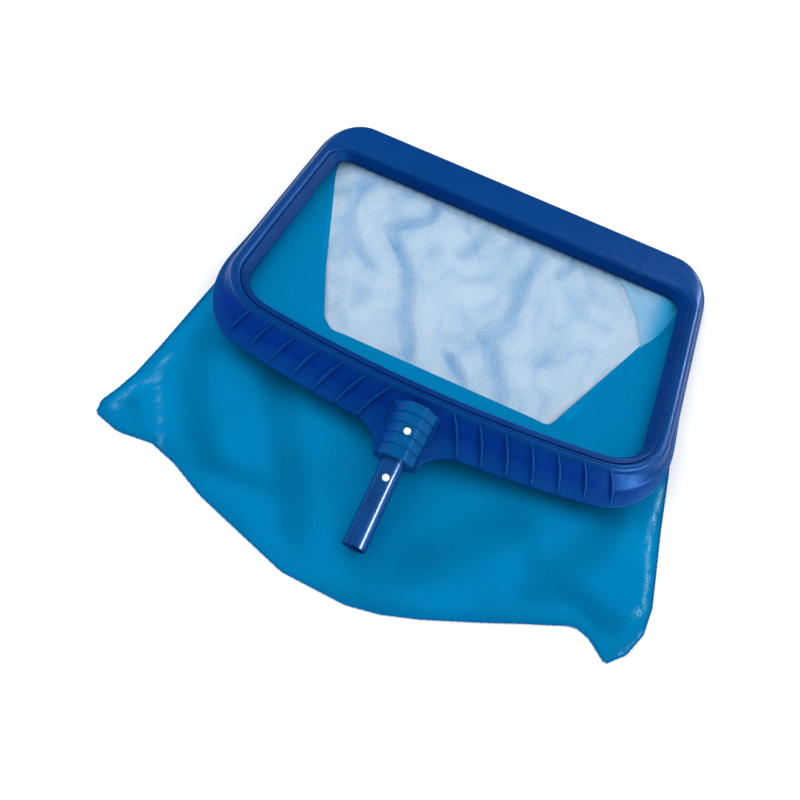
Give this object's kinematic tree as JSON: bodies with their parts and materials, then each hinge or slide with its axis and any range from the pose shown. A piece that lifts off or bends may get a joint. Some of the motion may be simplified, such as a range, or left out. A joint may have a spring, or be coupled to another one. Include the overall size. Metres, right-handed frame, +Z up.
{
  "type": "leaf skimmer net",
  "caption": "Deep-bag leaf skimmer net for a pool: wide scoop-lipped frame, ribbed handle side, sleeved tube spigot with spring buttons and a fine blue net bag.",
  "frame": {"origin": "on the floor, below the middle of the frame's mouth line", "axes": "+Z up from the floor the net lies on, +Y towards the wide scoop lip, -Y towards the handle spigot, X across the mouth"},
  "size_m": [0.6008, 0.586, 0.0688],
  "materials": {
    "frame_plastic": "injection-moulded polypropylene, satin gloss, slightly worn",
    "ring_plastic": "injection-moulded polypropylene, satin",
    "sleeve_plastic": "injection-moulded polypropylene, satin gloss",
    "anodised_tube": "dark blue anodised aluminium, glossy",
    "spring_steel": "stainless spring strip",
    "button_plastic": "white acetal",
    "hem_cloth": "folded net and binding, matte",
    "cord": "twisted nylon cord",
    "floor_net": "fine blue nylon net, single layer, see-through",
    "top_net": "fine blue nylon net, denser",
    "gusset_net": "fine blue nylon net, denser",
    "seam_cloth": "overlocked seam of net and thread"
  },
  "bodies": {
    "net": {"frame_moulding": "frame_plastic", "retaining_ring": "ring_plastic", "socket_sleeve": "sleeve_plastic", "spigot_tube": "anodised_tube", "spring_bend": "spring_steel", "mouth_hem": "hem_cloth", "hem_cord": "cord", "bag_floor_panel": "floor_net", "bag_top_panel": "top_net", "bag_gusset_left": "gusset_net", "bag_gusset_right": "gusset_net", "seam_end": "seam_cloth", "seam_left": "seam_cloth", "seam_right": "seam_cloth"},
    "upper_clip_leg": {"spring_leg_top": "spring_steel", "button_socket_top": "button_plastic", "button_pole_top": "button_plastic"},
    "lower_clip_leg": {"spring_leg_bottom": "spring_steel", "button_socket_bottom": "button_plastic", "button_pole_bottom": "button_plastic"}
  },
  "joints": [
    {"name": "upper_buttons_press", "type": "hinge", "parent": "net", "child": "upper_clip_leg", "pos_m": [0, -0.31938, 0.02304], "axis": [-1, 0, 0], "range_deg": [0, 4.2], "stiffness_Nm_per_rad": 5},
    {"name": "lower_buttons_press", "type": "hinge", "parent": "net", "child": "lower_clip_leg", "pos_m": [0, -0.3178, 0.0152], "axis": [1, 0, 0], "range_deg": [0, 4.2], "stiffness_Nm_per_rad": 5}
  ]
}
